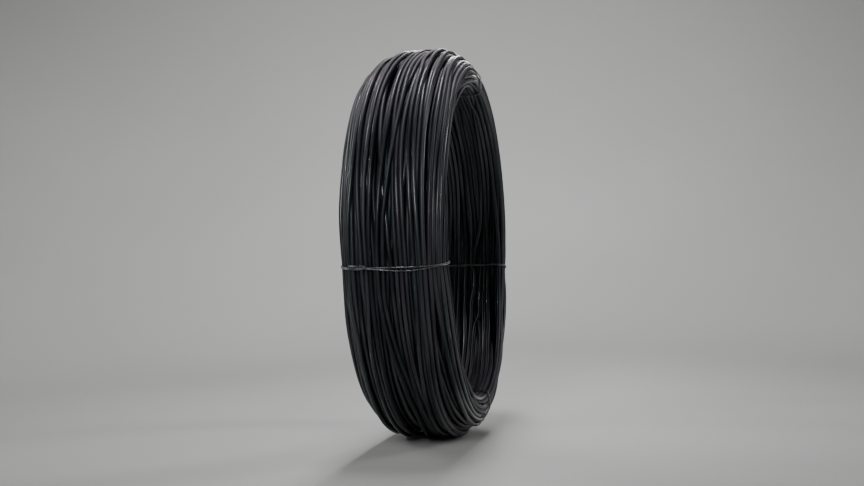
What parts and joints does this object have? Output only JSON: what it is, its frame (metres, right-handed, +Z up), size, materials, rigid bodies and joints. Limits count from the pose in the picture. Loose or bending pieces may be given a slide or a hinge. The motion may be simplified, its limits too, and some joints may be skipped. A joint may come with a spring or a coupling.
{
  "type": "coil of spring steel wire",
  "caption": "Ring-shaped coil of dark oil-tempered spring steel wire, standing on its rim, with an open eye and thin steel tie wires round the bundle.",
  "frame": {"origin": "on the floor, under the middle of the coil", "axes": "+X along the axis of the eye, +Z up, the coil stands on its rim"},
  "size_m": [0.272, 1.05, 1.05],
  "materials": {
    "spring_wire": "dark oil-tempered oxide, slightly oily",
    "tie_wire": "bright drawn, a little dulled"
  },
  "bodies": {
    "root": {"wire_coil": "spring_wire", "tie_wire_front": "tie_wire", "tie_wire_bottom": "tie_wire", "tie_wire_back": "tie_wire", "tie_wire_top": "tie_wire"}
  },
  "joints": []
}
